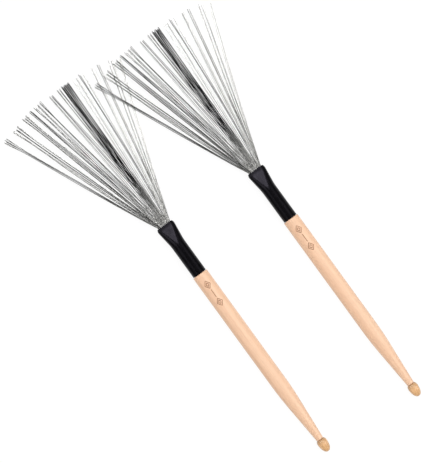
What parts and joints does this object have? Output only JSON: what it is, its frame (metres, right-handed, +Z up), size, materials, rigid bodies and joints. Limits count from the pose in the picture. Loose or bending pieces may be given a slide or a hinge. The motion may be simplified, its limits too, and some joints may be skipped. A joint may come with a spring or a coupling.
{
  "type": "wire drum brush pair",
  "caption": "Pair of drum brushes with turned wooden stick handles, acorn tips, black sleeves and flat fans of springy steel wires.",
  "frame": {"origin": "on the table, under the middle of the box round both brushes", "axes": "+Y from the handle tips to the wire tips, +X from brush A to brush B, +Z up from the table"},
  "size_m": [0.222, 0.4086, 0.0147],
  "materials": {
    "wood": "pale maple under a thin satin lacquer, with a fine straight grain",
    "tip_wood": "amber lacquered end grain, semi gloss",
    "rubber": "black, smooth and slightly glossy",
    "aluminium": "drawn tube, satin",
    "potting": "cast adhesive",
    "spring_wire": "drawn spring steel"
  },
  "bodies": {
    "brush_a": {"brush_a_handle": "wood", "brush_a_tip": "tip_wood", "brush_a_sleeve": "rubber", "brush_a_ferrule": "aluminium", "brush_a_potting": "potting"},
    "fan_a": {"brush_a_tuft_01": "spring_wire", "brush_a_tuft_02": "spring_wire", "brush_a_tuft_03": "spring_wire", "brush_a_tuft_04": "spring_wire", "brush_a_tuft_05": "spring_wire", "brush_a_tuft_06": "spring_wire", "brush_a_tuft_07": "spring_wire", "brush_a_tuft_08": "spring_wire", "brush_a_tuft_09": "spring_wire", "brush_a_tuft_10": "spring_wire", "brush_a_tuft_11": "spring_wire", "brush_a_tuft_12": "spring_wire", "brush_a_tuft_13": "spring_wire", "brush_a_tuft_14": "spring_wire"},
    "brush_b": {"brush_b_handle": "wood", "brush_b_tip": "tip_wood", "brush_b_sleeve": "rubber", "brush_b_ferrule": "aluminium", "brush_b_potting": "potting"},
    "fan_b": {"brush_b_tuft_01": "spring_wire", "brush_b_tuft_02": "spring_wire", "brush_b_tuft_03": "spring_wire", "brush_b_tuft_04": "spring_wire", "brush_b_tuft_05": "spring_wire", "brush_b_tuft_06": "spring_wire", "brush_b_tuft_07": "spring_wire", "brush_b_tuft_08": "spring_wire", "brush_b_tuft_09": "spring_wire", "brush_b_tuft_10": "spring_wire", "brush_b_tuft_11": "spring_wire", "brush_b_tuft_12": "spring_wire", "brush_b_tuft_13": "spring_wire", "brush_b_tuft_14": "spring_wire"}
  },
  "joints": [
    {"name": "fan_a_flex", "type": "hinge", "parent": "brush_a", "child": "fan_a", "pos_m": [-0.03874, 0.0503, 0.00735], "axis": [1, 0, 0], "range_deg": [0, 25], "stiffness_Nm_per_rad": 0.58, "deforming": ["brush_a_tuft_01", "brush_a_tuft_02", "brush_a_tuft_03", "brush_a_tuft_04", "brush_a_tuft_05", "brush_a_tuft_06", "brush_a_tuft_07", "brush_a_tuft_08", "brush_a_tuft_09", "brush_a_tuft_10", "brush_a_tuft_11", "brush_a_tuft_12", "brush_a_tuft_13", "brush_a_tuft_14"]},
    {"name": "brush_b_lift", "type": "slide", "parent": "brush_a", "child": "brush_b", "axis": [0, 0, 1], "range_m": [0, 0.06]},
    {"name": "fan_b_flex", "type": "hinge", "parent": "brush_b", "child": "fan_b", "pos_m": [0.05496, 0.0427, 0.00735], "axis": [1, 0, 0], "range_deg": [0, 25], "stiffness_Nm_per_rad": 0.58, "deforming": ["brush_b_tuft_01", "brush_b_tuft_02", "brush_b_tuft_03", "brush_b_tuft_04", "brush_b_tuft_05", "brush_b_tuft_06", "brush_b_tuft_07", "brush_b_tuft_08", "brush_b_tuft_09", "brush_b_tuft_10", "brush_b_tuft_11", "brush_b_tuft_12", "brush_b_tuft_13", "brush_b_tuft_14"]}
  ]
}
